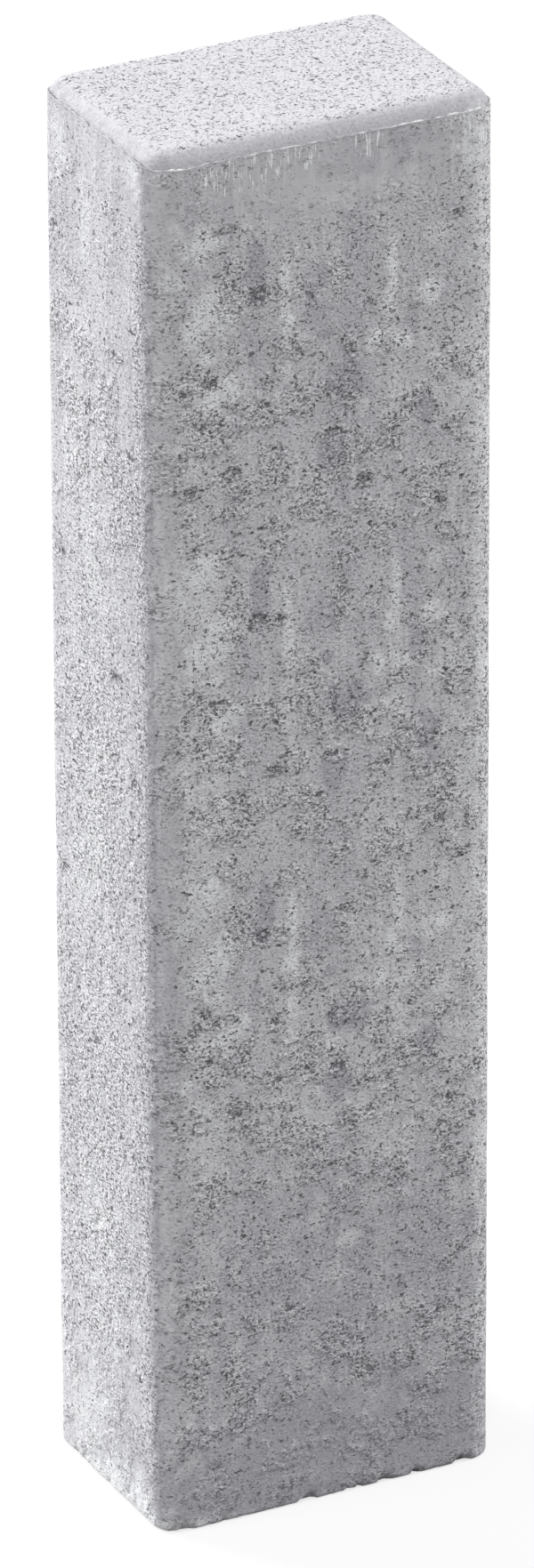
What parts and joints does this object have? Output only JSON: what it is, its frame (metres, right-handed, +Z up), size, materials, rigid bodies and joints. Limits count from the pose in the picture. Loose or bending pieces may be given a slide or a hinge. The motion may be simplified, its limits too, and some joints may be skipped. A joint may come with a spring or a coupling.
{
  "type": "palisade block",
  "caption": "Upright rectangular concrete palisade block with rounded vertical edges and a stamped, rounded top bevel with a thin lip.",
  "frame": {"origin": "middle of the foot, on the ground", "axes": "+Z up along the block's length, X along the wide faces, Y through the narrow depth, front face at -Y"},
  "size_m": [0.15, 0.1, 0.6],
  "materials": {
    "concrete": "dry-cast concrete, matt, with open pores"
  },
  "bodies": {
    "root": {"palisade_block": "concrete"}
  },
  "joints": []
}
